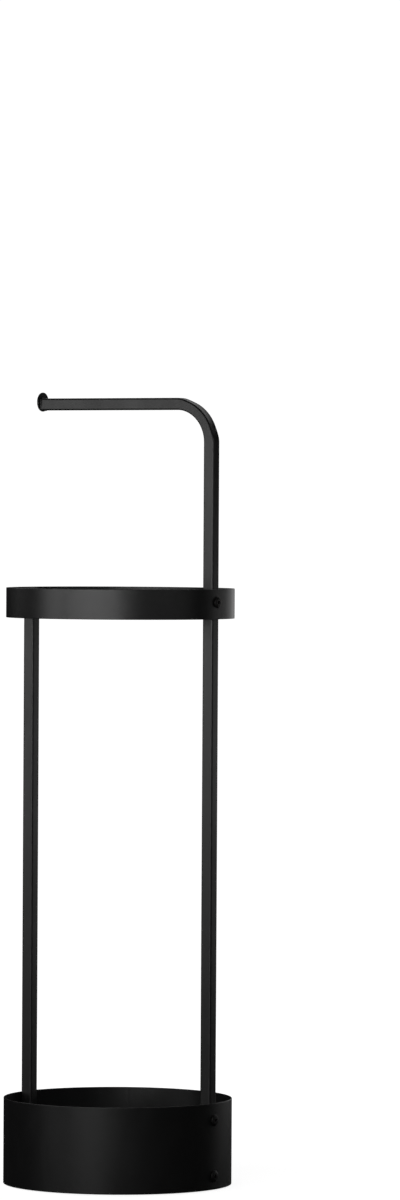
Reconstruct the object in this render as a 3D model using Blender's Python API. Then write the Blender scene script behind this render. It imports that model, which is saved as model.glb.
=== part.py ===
"""Umbrella stand: an open steel drum, a slim guide ring above it, and two square-tube posts screwed
inside both. One post carries on above the ring and bends over it into a hanging arm.

Metres, +Z up. The origin is on the floor at the centre of the drum. The posts stand at +X and -X, the
hook post at +X, and its arm runs back across the ring towards -X.
"""

import math

import bmesh
import bpy
from mathutils import Matrix, Vector

# Driving dimensions
DRUM_RADIUS = 0.100  # outer radius of the drum and of the ring
SHEET = 0.0010  # wall of the drum and of the ring
RIM_EDGE = 0.0003  # broken edge of their rims
DRUM_HEIGHT = 0.075
STAND_OFF = 0.001  # the pads hold the drum's lower edge this far above the floor
RING_BOTTOM = 0.4955
RING_HEIGHT = 0.0261
TUBE = 0.0105  # side of the square tube
TUBE_WALL = 0.001
TUBE_CORNER = 0.0015
ARM_HEIGHT = 0.6822  # centre line of the hanging arm
BEND_RADIUS = 0.0335  # on the centre line
ARM_END = -0.0817  # cut end of the arm
STOP_RADIUS = 0.0084
STOP_THICKNESS = 0.0016
STOP_EDGE = 0.0003
STOP_RISE = 0.0021  # centre of the end stop above the arm's centre line
REAR_POST_DROP = 0.0022  # cut end of the rear post below the top of the ring
GAP = 0.0003  # left between pieces that touch
POST_GAP = 0.00015  # left between a post's corners and the band that it stands in

PLUG_CAP_HEIGHT = 0.0012
PLUG_CAP_CROWN = 0.0004  # height over which the cap draws in
PLUG_CAP_DRAW = 0.0006  # how far it draws in on each side
PLUG_CORNER = 0.0009
SPIGOT_DEPTH = 0.003
SPIGOT_CHAMFER = 0.0003
SPIGOT_CHAMFER_HEIGHT = 0.001

FLOOR_PLATE_RECESS = 0.002
FLOOR_PLATE_THICKNESS = 0.002
PAD_RADIUS = 0.009
PAD_CIRCLE_RADIUS = 0.078
PAD_COUNT = 4
PAD_EDGE = 0.0006

TRAY_RIM_RADIUS = 0.086
TRAY_BASE_RADIUS = 0.081
TRAY_HEIGHT = 0.028
TRAY_WALL = 0.0016
TRAY_LIP = 0.0030  # width of the turned-out lip
TRAY_LIP_DROP = 0.0040
TRAY_LIP_EDGE = 0.0005
TRAY_BASE_BLEND = 0.004
TRAY_BLEND_STEPS = 3

SCREW_HEIGHTS = {"base_low": 0.0127, "base_high": 0.0612, "ring": 0.5101}
SCREW_SHANK_RADIUS = 0.0025
SCREW_LENGTH = 0.008
SCREW_TIP_CHAMFER = 0.0005
HEAD_RADIUS = 0.0050
HEAD_HEIGHT = 0.0016
HEAD_RIM = 0.0004  # upright edge below the dome
HEAD_FLAT_RADIUS = 0.0028  # flat round the socket
DOME_STEPS = 4
SOCKET_ACROSS_FLATS = 0.003
SOCKET_DEPTH = 0.0012
NUT_NECK_RADIUS = 0.0034
NUT_BODY_RADIUS = 0.00372
NUT_LENGTH = 0.0068

CIRCLE_STEPS = 72
SMALL_CIRCLE_STEPS = 16
BEND_STEPS = 10
CORNER_STEPS = 2
SHARP_ANGLE = math.radians(35)

# Worked out from the dimensions above
WALL_INSIDE = DRUM_RADIUS - SHEET
DRUM_TOP = STAND_OFF + DRUM_HEIGHT
RING_TOP = RING_BOTTOM + RING_HEIGHT
PLATE_BOTTOM = STAND_OFF + FLOOR_PLATE_RECESS
PLATE_TOP = PLATE_BOTTOM + FLOOR_PLATE_THICKNESS
POST_BOTTOM = PLATE_TOP + GAP
# The band is a prism of flat facets, whose middles stand a little inside its circle. A post's rounded
# corner touches them when its centre is this far from the axis.
CORNER_REACH = WALL_INSIDE * math.cos(math.pi / CIRCLE_STEPS) - POST_GAP - TUBE_CORNER
POST_OUTER_FACE = TUBE_CORNER + math.sqrt(CORNER_REACH**2 - (TUBE / 2 - TUBE_CORNER) ** 2)
POST_X = POST_OUTER_FACE - TUBE / 2
REAR_POST_TOP = RING_TOP - REAR_POST_DROP
SIDES = {"hook": 1, "rear": -1}


def clear_scene():
    """Removes everything that the startup file holds."""
    for obj in list(bpy.data.objects):
        bpy.data.objects.remove(obj, do_unlink=True)


def material(name, color, roughness, metallic=0.0):
    """A Principled material of one colour."""
    made = bpy.data.materials.new(name)
    made.use_nodes = True
    shader = made.node_tree.nodes["Principled BSDF"]
    shader.inputs["Base Color"].default_value = (*color, 1.0)
    shader.inputs["Roughness"].default_value = roughness
    shader.inputs["Metallic"].default_value = metallic
    made.diffuse_color = (*color, 1.0)
    return made


def make_object(name, mesh_builder, finish, parent=None, location=(0, 0, 0)):
    """Puts a bmesh into a named, smooth-shaded object with a material."""
    mesh = bpy.data.meshes.new(name)
    bmesh.ops.recalc_face_normals(mesh_builder, faces=mesh_builder.faces)
    mesh_builder.to_mesh(mesh)
    mesh_builder.free()
    mesh.shade_smooth()
    mesh.set_sharp_from_angle(angle=SHARP_ANGLE)
    mesh.materials.append(finish)
    obj = bpy.data.objects.new(name, mesh)
    bpy.context.scene.collection.objects.link(obj)
    obj.location = location
    obj.parent = parent
    return obj


def make_empty(name, location=(0, 0, 0)):
    """An empty that carries the pieces of one group."""
    empty = bpy.data.objects.new(name, None)
    empty.location = location
    bpy.context.scene.collection.objects.link(empty)
    return empty


def turned(profile, steps):
    """Turns an outline of (radius, height) points round Z. Points at radius 0 become poles.

    The outline is closed by a last edge unless it starts and ends on the axis.
    """
    shape = bmesh.new()
    columns = []
    poles = {i: shape.verts.new((0, 0, z)) for i, (r, z) in enumerate(profile) if r == 0}
    for step in range(steps):
        angle = 2 * math.pi * step / steps
        columns.append([
            poles.get(i) or shape.verts.new((r * math.cos(angle), r * math.sin(angle), z))
            for i, (r, z) in enumerate(profile)
        ])
    count = len(profile)
    for step, column in enumerate(columns):
        following = columns[(step + 1) % steps]
        for i in range(count - 1 if poles else count):
            j = (i + 1) % count
            corners = [column[i], following[i], following[j], column[j]]
            shape.faces.new(list(dict.fromkeys(corners)))
    return shape


def rounded_square(side, corner):
    """The outline of a square tube's section, corner arcs included, as (u, v) points."""
    half = side / 2 - corner
    points = []
    for quarter, (u, v) in enumerate(((half, half), (-half, half), (-half, -half), (half, -half))):
        for step in range(CORNER_STEPS + 1):
            angle = math.pi / 2 * (quarter + step / CORNER_STEPS)
            points.append((u + corner * math.cos(angle), v + corner * math.sin(angle)))
    return points


def square_tube(stations):
    """A hollow square tube along stations, each (centre, direction) in the XZ plane, ends open."""
    shape = bmesh.new()
    outlines = (rounded_square(TUBE, TUBE_CORNER), rounded_square(TUBE - 2 * TUBE_WALL, TUBE_CORNER / 3))
    skins = []
    for outline in outlines:
        rings = []
        for centre, direction in stations:
            across = Vector((direction.z, 0, -direction.x))
            rings.append([shape.verts.new(centre + across * u + Vector((0, v, 0))) for u, v in outline])
        skins.append(rings)
    count = len(outlines[0])
    for rings in skins:
        for lower, upper in zip(rings, rings[1:]):
            for i in range(count):
                j = (i + 1) % count
                shape.faces.new((lower[i], lower[j], upper[j], upper[i]))
    for end in (0, -1):
        outer, inner = skins[0][end], skins[1][end]
        for i in range(count):
            j = (i + 1) % count
            shape.faces.new((outer[i], outer[j], inner[j], inner[i]))
    return shape


def band(bottom, top):
    """The outline of a rolled sheet band with broken edges."""
    outer, inner, edge = DRUM_RADIUS, WALL_INSIDE, RIM_EDGE
    return [
        (outer - edge, top), (outer, top - edge), (outer, bottom + edge), (outer - edge, bottom),
        (inner + edge, bottom), (inner, bottom + edge), (inner, top - edge), (inner + edge, top),
    ]


def cutter_along_x(name, radius, low, high, height):
    """A hidden cylinder along X, for a screw's hole."""
    shape = bmesh.new()
    turn = Matrix.Translation(((low + high) / 2, 0, height)) @ Matrix.Rotation(math.pi / 2, 4, "Y")
    bmesh.ops.create_cone(
        shape, cap_ends=True, segments=SMALL_CIRCLE_STEPS, radius1=radius, radius2=radius,
        depth=high - low, matrix=turn,
    )
    mesh = bpy.data.meshes.new(name)
    shape.to_mesh(mesh)
    shape.free()
    cutter = bpy.data.objects.new(name, mesh)
    bpy.context.scene.collection.objects.link(cutter)
    cutter.hide_render = True
    cutter.display_type = "WIRE"
    return cutter


def cut(obj, cutter):
    """Takes the cutter's shape out of the object."""
    modifier = obj.modifiers.new(cutter.name, "BOOLEAN")
    modifier.operation = "DIFFERENCE"
    modifier.object = cutter


def make_drum_and_ring(parent, steel):
    """The two rolled bands, drilled through both sides for the screws, and the drum's floor."""
    shell = make_object("base_shell", turned(band(STAND_OFF, DRUM_TOP), CIRCLE_STEPS), steel, parent)
    ring = make_object("guide_ring", turned(band(RING_BOTTOM, RING_TOP), CIRCLE_STEPS), steel, parent)
    reach = DRUM_RADIUS + SHEET
    for place, height in SCREW_HEIGHTS.items():
        drill = cutter_along_x("drill_" + place, SCREW_SHANK_RADIUS + GAP, -reach, reach, height)
        cut(ring if place == "ring" else shell, drill)
    radius = WALL_INSIDE - GAP
    plate = [(0, PLATE_BOTTOM), (radius, PLATE_BOTTOM), (radius, PLATE_TOP), (0, PLATE_TOP)]
    make_object("floor_plate", turned(plate, CIRCLE_STEPS), steel, parent)


def make_posts(parent, steel, plastic):
    """The bent hook post with its end stop, and the straight rear post with its plug."""
    up, back = Vector((0, 0, 1)), Vector((-1, 0, 0))
    bend_centre = Vector((POST_X - BEND_RADIUS, 0, ARM_HEIGHT - BEND_RADIUS))
    hook_line = [(Vector((POST_X, 0, POST_BOTTOM)), up)]
    for step in range(BEND_STEPS + 1):
        angle = math.pi / 2 * step / BEND_STEPS
        spoke = Vector((math.cos(angle), 0, math.sin(angle)))
        hook_line.append((bend_centre + BEND_RADIUS * spoke, Vector((-spoke.z, 0, spoke.x))))
    hook_line.append((Vector((ARM_END, 0, ARM_HEIGHT)), back))
    rear_line = [(Vector((-POST_X, 0, POST_BOTTOM)), up), (Vector((-POST_X, 0, REAR_POST_TOP)), up)]

    for side, line in (("hook", hook_line), ("rear", rear_line)):
        post = make_object(side + "_post", square_tube(line), steel, parent)
        for place, height in SCREW_HEIGHTS.items():
            ends = sorted((SIDES[side] * POST_X, SIDES[side] * DRUM_RADIUS))
            drill = cutter_along_x(f"drill_{side}_{place}", NUT_NECK_RADIUS + GAP, *ends, height)
            cut(post, drill)

    edge = STOP_EDGE
    stop = [
        (0, 0), (STOP_RADIUS - edge, 0), (STOP_RADIUS, edge), (STOP_RADIUS, STOP_THICKNESS - edge),
        (STOP_RADIUS - edge, STOP_THICKNESS), (0, STOP_THICKNESS),
    ]
    end_stop = make_object("arm_end_stop", turned(stop, 2 * SMALL_CIRCLE_STEPS), steel, parent)
    end_stop.location = (ARM_END - GAP, 0, ARM_HEIGHT + STOP_RISE)
    end_stop.rotation_euler = (0, -math.pi / 2, 0)

    make_post_plug(parent, plastic)


def make_post_plug(parent, plastic):
    """The plug in the rear post's open end: a cap on the tube and a spigot inside it."""
    spigot = TUBE - 2 * TUBE_WALL - 2 * GAP
    cap = TUBE - GAP / 2
    sections = [
        (spigot - 2 * SPIGOT_CHAMFER, -SPIGOT_DEPTH), (spigot, SPIGOT_CHAMFER_HEIGHT - SPIGOT_DEPTH),
        (spigot, GAP), (cap, GAP), (cap, GAP + PLUG_CAP_HEIGHT - PLUG_CAP_CROWN),
        (cap - 2 * PLUG_CAP_DRAW, GAP + PLUG_CAP_HEIGHT),
    ]
    shape = bmesh.new()
    rings = []
    for side, z in sections:
        rings.append([shape.verts.new((u, v, z)) for u, v in rounded_square(side, PLUG_CORNER)])
    for lower, upper in zip(rings, rings[1:]):
        for i in range(len(lower)):
            j = (i + 1) % len(lower)
            shape.faces.new((lower[i], lower[j], upper[j], upper[i]))
    shape.faces.new(rings[0])
    shape.faces.new(rings[-1])
    make_object("rear_post_plug", shape, plastic, parent, (-POST_X, 0, REAR_POST_TOP))


def screw_shape():
    """A button-head screw along Z: dome upwards with a hexagon socket, head seated at height 0."""
    socket_radius = SOCKET_ACROSS_FLATS / math.sqrt(3)
    chamfer = SCREW_TIP_CHAMFER
    profile = [(0, -SCREW_LENGTH), (SCREW_SHANK_RADIUS - chamfer, -SCREW_LENGTH)]
    profile += [(SCREW_SHANK_RADIUS, chamfer - SCREW_LENGTH), (SCREW_SHANK_RADIUS, 0), (HEAD_RADIUS, 0)]
    for step in range(DOME_STEPS + 1):
        angle = math.pi / 2 * step / DOME_STEPS
        radius = HEAD_FLAT_RADIUS + (HEAD_RADIUS - HEAD_FLAT_RADIUS) * math.cos(angle)
        profile.append((radius, HEAD_RIM + (HEAD_HEIGHT - HEAD_RIM) * math.sin(angle)))
    profile.append((0, HEAD_HEIGHT))
    shape = turned(profile, SMALL_CIRCLE_STEPS)
    socket = bmesh.new()
    middle = Matrix.Translation((0, 0, HEAD_HEIGHT))
    bmesh.ops.create_cone(
        socket, cap_ends=True, segments=6, radius1=socket_radius, radius2=socket_radius,
        depth=2 * SOCKET_DEPTH, matrix=middle,
    )
    return shape, socket


def nut_shape():
    """A rivet nut along Z: a neck in the tube's wall and a wider body behind it, bored through."""
    bore = SCREW_SHANK_RADIUS + GAP
    shoulder = -TUBE_WALL - GAP
    return turned(
        [
            (NUT_NECK_RADIUS, 0), (NUT_NECK_RADIUS, shoulder), (NUT_BODY_RADIUS, shoulder),
            (NUT_BODY_RADIUS, -NUT_LENGTH), (bore, -NUT_LENGTH), (bore, 0),
        ],
        SMALL_CIRCLE_STEPS,
    )


def make_fasteners(parent, black_steel, zinc):
    """A screw and its rivet nut at every place where a post meets the drum or the ring."""
    screw, socket = screw_shape()
    socket_mesh = bpy.data.meshes.new("socket")
    socket.to_mesh(socket_mesh)
    socket.free()
    screw_mesh = bpy.data.meshes.new("screw")
    screw.to_mesh(screw_mesh)
    screw.free()
    for side, sign in SIDES.items():
        for place, height in SCREW_HEIGHTS.items():
            seat = (sign * (DRUM_RADIUS + GAP), 0, height)
            outwards = (0, sign * math.pi / 2, 0)
            cutter = bpy.data.objects.new(f"socket_{side}_{place}", socket_mesh)
            bpy.context.scene.collection.objects.link(cutter)
            cutter.hide_render = True
            cutter.display_type = "WIRE"
            cutter.location = seat
            cutter.rotation_euler = outwards
            body = bmesh.new()
            body.from_mesh(screw_mesh)
            piece = make_object(f"screw_{side}_{place}", body, black_steel, parent, seat)
            piece.rotation_euler = outwards
            cut(piece, cutter)
            nut = make_object(f"rivet_nut_{side}_{place}", nut_shape(), zinc, parent)
            nut.location = (sign * POST_OUTER_FACE, 0, height)
            nut.rotation_euler = outwards


def make_pads(parent, rubber):
    """The foot pads stuck in the recess under the floor plate."""
    top, edge = PLATE_BOTTOM - GAP, PAD_EDGE
    profile = [(0, 0), (PAD_RADIUS - edge, 0), (PAD_RADIUS, edge), (PAD_RADIUS, top), (0, top)]
    for number in range(PAD_COUNT):
        angle = 2 * math.pi * (number + 0.5) / PAD_COUNT
        place = (PAD_CIRCLE_RADIUS * math.cos(angle), PAD_CIRCLE_RADIUS * math.sin(angle), 0)
        shape = turned(profile, SMALL_CIRCLE_STEPS)
        make_object(f"foot_pad_{number + 1}", shape, rubber, parent, place)


def make_tray(parent, plastic):
    """The moulded drip tray: a shallow tapered pan with a lip turned out and down."""
    blend, wall, edge = TRAY_BASE_BLEND, TRAY_WALL, TRAY_LIP_EDGE
    rim, top, centre = TRAY_RIM_RADIUS, TRAY_HEIGHT, TRAY_BASE_RADIUS - TRAY_BASE_BLEND
    neck = rim - TRAY_LIP
    angles = [math.pi / 2 * step / TRAY_BLEND_STEPS for step in range(TRAY_BLEND_STEPS + 1)]
    base_arc = [(centre + blend * math.sin(a), blend - blend * math.cos(a)) for a in angles]
    outside = [(0, 0), *base_arc, (neck, top - wall)]
    lip = [
        (rim - wall, top - wall), (rim - wall, top - TRAY_LIP_DROP), (rim, top - TRAY_LIP_DROP),
        (rim, top - edge), (rim - edge, top), (neck - wall, top),
    ]
    inner = blend - wall
    inner_arc = [(centre + inner * math.sin(a), blend - inner * math.cos(a)) for a in reversed(angles)]
    profile = [*outside, *lip, *inner_arc, (0, wall)]
    make_object("drip_tray", turned(profile, CIRCLE_STEPS), plastic, parent)


def main():
    """Builds the stand."""
    clear_scene()
    steel = material("powder_coated_steel", (0.020, 0.020, 0.021), 0.45)
    black_steel = material("black_oxide_steel", (0.028, 0.027, 0.027), 0.35, 0.8)
    zinc = material("zinc_plated_steel", (0.55, 0.56, 0.58), 0.35, 1.0)
    plastic = material("black_plastic", (0.022, 0.022, 0.023), 0.55)
    rubber = material("black_rubber", (0.014, 0.014, 0.014), 0.8)

    frame = make_empty("stand_frame")
    tray_seat = make_empty("tray_lift", (0, 0, PLATE_TOP + GAP))
    tray_seat.parent = frame
    make_drum_and_ring(frame, steel)
    make_posts(frame, steel, plastic)
    make_fasteners(frame, black_steel, zinc)
    make_pads(frame, rubber)
    make_tray(tray_seat, plastic)


main()
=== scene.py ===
"""The looks of a black steel umbrella stand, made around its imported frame.

The stand is a rolled steel drum with a loose drip tray, a slim guide ring above it, and two square-tube
posts screwed inside both. One post bends over above the ring into a hanging arm with a round end stop.
Every surface here is a function of two parameters worked out on a whole grid at once. Metres, +Z up.
"""

import logging
import math
from collections.abc import Callable
from dataclasses import dataclass, field
from enum import Enum

import bpy
import numpy as np
from mathutils import Matrix, Vector
from numpy.typing import NDArray


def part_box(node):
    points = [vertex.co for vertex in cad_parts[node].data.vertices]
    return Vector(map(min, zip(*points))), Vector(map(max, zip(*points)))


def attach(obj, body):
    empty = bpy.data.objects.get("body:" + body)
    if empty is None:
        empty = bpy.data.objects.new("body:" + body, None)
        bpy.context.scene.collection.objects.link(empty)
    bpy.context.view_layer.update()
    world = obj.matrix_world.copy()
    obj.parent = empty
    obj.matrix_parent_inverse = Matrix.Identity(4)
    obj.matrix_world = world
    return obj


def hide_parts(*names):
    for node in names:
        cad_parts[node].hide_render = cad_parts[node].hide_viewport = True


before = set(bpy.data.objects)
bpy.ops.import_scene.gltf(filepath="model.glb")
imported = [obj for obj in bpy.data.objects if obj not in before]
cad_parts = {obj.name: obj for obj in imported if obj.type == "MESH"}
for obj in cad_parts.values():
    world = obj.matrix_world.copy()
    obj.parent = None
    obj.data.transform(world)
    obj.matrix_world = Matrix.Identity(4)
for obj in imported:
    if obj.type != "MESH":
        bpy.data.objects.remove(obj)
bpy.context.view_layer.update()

Floats = NDArray[np.float64]
Integers = NDArray[np.int64]
Color = tuple[float, float, float]
Node = bpy.types.Node
Socket = bpy.types.NodeSocket
Tree = bpy.types.NodeTree
Sockets = dict[str, Socket]
Painted = tuple[Socket, Socket, Socket]  # colour, roughness and height

LOG = logging.getLogger("umbrella_stand")
WELD_DISTANCE = 1e-7  # points this close on a grid are one point, as at a pole
TINY = 1e-9  # keeps a divisor off zero
SHARP_ANGLE = math.radians(42)
FULL_TURN = 2 * math.pi
QUARTER_TURN = math.pi / 2
STAND = "stand"
TRAY = "tray"


class Wrap(Enum):
    """Which parameters of a grid come round to where they began: (first, second)."""

    FIRST = (True, False)
    BOTH = (True, True)


class Side(Enum):
    """The two posts, by the sign of their place along X."""

    HOOK = 1
    REAR = -1


class Level(Enum):
    """The heights at which a screw holds each post."""

    BASE_LOW = "base_low"
    BASE_HIGH = "base_high"
    RING = "ring"


class Mark(Enum):
    """Values stored on a mesh's points, which the finishes read."""

    EDGE = "edge"  # 1 on a rounded outer edge, 0 on a flat
    LATHE = "lathe"  # distance from the axis that a piece was turned about
    POOL = "pool"  # 1 where water stands


# ---- surfaces


def unit(vectors: Floats) -> Floats:
    """Vectors over their own length, and zero where they have none."""
    length = np.linalg.norm(vectors, axis=-1, keepdims=True)
    return vectors / np.where(length > 0, length, 1)


def bump(distance: Floats, reach: float) -> Floats:
    """A smooth rise: (1 - (d / reach)^2)^2 within reach, and 0 past it."""
    return np.clip(1 - (distance / reach) ** 2, 0, None) ** 2


def evenly(steps: int) -> Floats:
    """Angles once round the circle, the last one short of the first."""
    return np.linspace(0, FULL_TURN, steps, endpoint=False)


@dataclass
class Outline:
    """Points of a flat outline, with a mask that is 1 on its rounded outer edges."""

    points: Floats
    edge: Floats

    @classmethod
    def filleted(cls, corners: Floats | list, radii: list[float], steps: int = 5) -> "Outline":
        """Rounds the corners of a closed outline.

        A corner C of radius r becomes the arc between its tangent points A and B, at r / tan(h) from C,
        where h is half of the corner's angle. The arc is the rational curve
        ((1-s)^2 A + 2 w s (1-s) C + s^2 B) / ((1-s)^2 + 2 w s (1-s) + s^2) with w = sin(h).
        A further point on each straight, a little past A and B, keeps flat faces flat when shaded.

        Args:
            corners: n points (x, y) in order.
            radii: the radius at each corner, 0 where it stays sharp.
            steps: facets in one arc.

        Returns:
            The outline with steps + 3 points for each corner.
        """
        corners, radius = np.array(corners, float), np.array(radii, float)[:, None]
        following = np.roll(corners, -1, axis=0)
        back, on = np.roll(corners, 1, axis=0) - corners, following - corners
        to_back, to_on = unit(back), unit(on)
        half = 0.5 * np.arccos(np.clip((to_back * to_on).sum(1), -1, 1))[:, None]
        tangent = radius / np.maximum(np.tan(half), TINY)
        room = 0.5 * np.minimum(np.linalg.norm(back, axis=1), np.linalg.norm(on, axis=1))[:, None]
        support = np.minimum(tangent + 0.5 * radius, 0.98 * room)
        start, end = corners + tangent * to_back, corners + tangent * to_on
        s = np.linspace(0, 1, steps + 1)[None, :, None]
        weights = (1 - s) ** 2, 2 * np.sin(half)[:, None] * s * (1 - s), s**2
        arc = weights[0] * start[:, None] + weights[1] * corners[:, None] + weights[2] * end[:, None]
        arc = arc / sum(weights)
        before, after = (corners + support * way for way in (to_back, to_on))
        turn = to_back[:, 0] * to_on[:, 1] - to_back[:, 1] * to_on[:, 0]
        area = (corners[:, 0] * following[:, 1] - corners[:, 1] * following[:, 0]).sum()
        outer = (turn * area < 0)[:, None] & (radius > 0)
        mask = np.zeros((len(corners), steps + 3))
        mask[:, 1:-1] = outer * np.sin(math.pi * s[:, :, 0])
        points = np.concatenate([before[:, None], arc, after[:, None]], axis=1)
        return cls(points.reshape(-1, 2), mask.reshape(-1))

    @classmethod
    def disc(cls, radius: float, low: float, high: float, edge: float, top_edge: float) -> "Outline":
        """The outline (distance from the axis, height) of a disc with rounded edges."""
        corners = [(0, low), (radius, low), (radius, high), (0, high)]
        return cls.filleted(corners, [0, edge, top_edge, 0])


@dataclass
class Grid:
    """A surface as points P(u, v) on a grid, with the values that the finishes read.

    points is (nu, nv, 3), and each mark is (nu, nv).
    """

    points: Floats
    wrap: Wrap
    marks: dict[Mark, Floats] = field(default_factory=dict)

    def moved(self, matrix: Matrix) -> "Grid":
        """The same surface carried by a 4x4 matrix: M P for every point."""
        m = np.array(matrix)
        return Grid(self.points @ m[:3, :3].T + m[:3, 3], self.wrap, self.marks)

    def faces(self, index: Integers) -> tuple[Integers, Integers]:
        """The grid's quads over welded points, and triangles where two corners of a quad met at a pole.

        Args:
            index: the welded point that each grid point became, in row order.

        Returns:
            Quads (n, 4) and triangles (m, 3).
        """
        numbers = index.reshape(self.points.shape[:2])
        first, second = self.wrap.value
        if first:
            numbers = np.concatenate([numbers, numbers[:1]], axis=0)
        if second:
            numbers = np.concatenate([numbers, numbers[:, :1]], axis=1)
        corners = [numbers[:-1, :-1], numbers[1:, :-1], numbers[1:, 1:], numbers[:-1, 1:]]
        quads = np.stack(corners, axis=-1).reshape(-1, 4)
        same = quads == np.roll(quads, -1, axis=1)
        count = same.sum(axis=1)
        pinched, where = quads[count == 1], same[count == 1].argmax(axis=1)
        order = (where[:, None] + np.array([1, 2, 3])) % 4
        return quads[count == 0], np.take_along_axis(pinched, order, axis=1)

    def mesh(self, name: str) -> bpy.types.Mesh:
        """A closed mesh of the surface, its faces outwards.

        Six times the enclosed volume is the sum of a . (b x c) over the triangles a, b, c, and a negative
        sum means that every face has to be turned over.
        """
        flat = self.points.reshape(-1, 3)
        keys = np.round(flat / WELD_DISTANCE).astype(np.int64)
        _, kept, index = np.unique(keys, axis=0, return_index=True, return_inverse=True)
        quads, triangles = self.faces(index.reshape(-1))
        vertices = flat[kept]
        halves = np.concatenate([quads[:, [0, 1, 2]], quads[:, [0, 2, 3]], triangles])
        a, b, c = (vertices[halves[:, i]] for i in range(3))
        if (a * np.cross(b, c)).sum() < 0:
            quads, triangles = quads[:, ::-1], triangles[:, ::-1]
        mesh = bpy.data.meshes.new(name)
        mesh.from_pydata(vertices.tolist(), [], quads.tolist() + triangles.tolist())
        for mark, values in self.marks.items():
            attribute = mesh.attributes.new(mark.value, "FLOAT", "POINT")
            attribute.data.foreach_set("value", values.reshape(-1)[kept].astype(np.float32))
        mesh.shade_smooth()
        mesh.set_sharp_from_angle(angle=SHARP_ANGLE)
        return mesh


def turned(outline: Outline, angles: Floats) -> Grid:
    """A surface of revolution: P(a, k) = (r_k cos a, r_k sin a, z_k) for outline points (r_k, z_k)."""
    r, z = outline.points.T
    shape = (len(angles), len(r))
    around = angles[:, None]
    points = np.stack([r * np.cos(around), r * np.sin(around), np.broadcast_to(z, shape)], axis=-1)
    marks = {Mark.EDGE: np.broadcast_to(outline.edge, shape), Mark.LATHE: np.broadcast_to(r, shape)}
    return Grid(points, Wrap.BOTH, marks)


@dataclass
class SquareSection:
    """The section of a square tube, as a function of its inset from the outer skin.

    A point is T (h - c) + N c, where h is half of the side, c the corner's radius, N the outward normal,
    and T the sign of the corner's centre, which runs from -1 to 1 along a flat side.
    """

    side: float
    corner: float
    arc_steps: int = 6
    flat_steps: int = 8
    least_corner: float = 0.0004

    def __post_init__(self) -> None:
        """Works out T, N and the edge mask once.

        T and N are complex numbers here: one corner and the flat after it, then the same by quarter turns.
        """
        s = np.linspace(0, 1, self.arc_steps + 1)
        # Flats are sampled closely at both ends, so that their middle shades flat.
        f = 0.5 - 0.5 * np.cos(math.pi * np.linspace(0, 1, self.flat_steps + 1)[1:-1])
        turns = 1j ** np.arange(4)[:, None]
        toward = turns * np.concatenate([0 * s + 1 + 1j, 1 + 1j - 2 * f])
        normal = turns * np.concatenate([np.exp(1j * QUARTER_TURN * s), 0 * f + 1j])
        self.toward, self.normal = (
            np.stack([number.real, number.imag], axis=-1).reshape(-1, 2) for number in (toward, normal)
        )
        self.edge = np.tile(np.concatenate([np.sin(math.pi * s), 0 * f]), 4)

    def points(self, inset: Floats) -> Floats:
        """Section points (n, m, 2) at each of m insets."""
        half = self.side / 2 - inset
        corner = np.minimum(np.maximum(self.corner - inset, self.least_corner), half)
        return self.toward[:, None] * (half - corner)[:, None] + self.normal[:, None] * corner[:, None]


# ---- node trees


class Board:
    """A node tree with short calls for adding nodes and joining them."""

    MIX_COLORS = (6, 7)  # the two colour inputs of a Mix node
    MIX_RESULT = 2

    def __init__(self, tree: Tree) -> None:
        """Keeps the tree."""
        self.tree = tree

    def feed(self, node: Node, inputs: dict) -> None:
        """Gives a node's inputs, by name or number, their values or the output sockets that feed them."""
        for key, value in inputs.items():
            if isinstance(value, Socket):
                self.tree.links.new(value, node.inputs[key])
            else:
                node.inputs[key].default_value = value

    def add(self, kind: str, inputs: dict | None = None, **settings: object) -> Node:
        """Adds a node.

        Args:
            kind: the node's type, without the ShaderNode prefix.
            inputs: a value or an output socket for each input, by name or number.
            settings: properties of the node itself.

        Returns:
            The new node.
        """
        node = self.tree.nodes.new(kind if kind.startswith("Node") else "ShaderNode" + kind)
        for name, value in settings.items():
            setattr(node, name, value)
        self.feed(node, inputs or {})
        return node

    @property
    def place(self) -> Socket:
        """The piece's own coordinates, in metres."""
        return self.add("TexCoord").outputs["Object"]

    def mark(self, mark: Mark) -> Socket:
        """A value stored on the mesh's points."""
        return self.add("Attribute", attribute_name=mark.value).outputs["Fac"]

    def group(self, tree: Tree, inputs: dict[str, float] | None = None) -> bpy.types.NodeOutputs:
        """The outputs of a group placed with its own values."""
        return self.add("Group", inputs, node_tree=tree).outputs

    def math(self, operation: str, *values: object) -> Socket:
        """The output of a Math node on these values or sockets."""
        return self.add("Math", dict(enumerate(values)), operation=operation).outputs[0]

    def product(self, first: object, *others: object) -> Socket:
        """All the values or sockets multiplied."""
        for other in others:
            first = self.math("MULTIPLY", first, other)
        return first

    def total(self, start: float, *terms: tuple[Socket, float]) -> Socket:
        """A starting value plus each socket times its weight."""
        for socket, weight in terms:
            start = self.math("MULTIPLY_ADD", socket, weight, start)
        return start

    def spread(
        self, value: object, low: float, high: float, to_low: float = 0.0, to_high: float = 1.0
    ) -> Socket:
        """A value carried smoothly from one range to another, and held at its ends."""
        inputs = {"Value": value, "From Min": low, "From Max": high, "To Min": to_low, "To Max": to_high}
        return self.add("MapRange", inputs, interpolation_type="SMOOTHSTEP").outputs["Result"]

    def noise(self, scale: object, detail: float = 2.0, rough: float = 0.5) -> Socket:
        """A noise value over the piece, at a scale given in waves per metre."""
        inputs = {"Vector": self.place, "Scale": scale, "Detail": detail, "Roughness": rough}
        return self.add("TexNoise", inputs).outputs[0]

    def blend(self, share: object, *colors: Socket | Color) -> Socket:
        """A colour mixed from two by a share."""
        given = [color if isinstance(color, Socket) else (*color, 1.0) for color in colors]
        inputs = {0: share, **dict(zip(self.MIX_COLORS, given))}
        return self.add("Mix", inputs, data_type="RGBA").outputs[self.MIX_RESULT]


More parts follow.
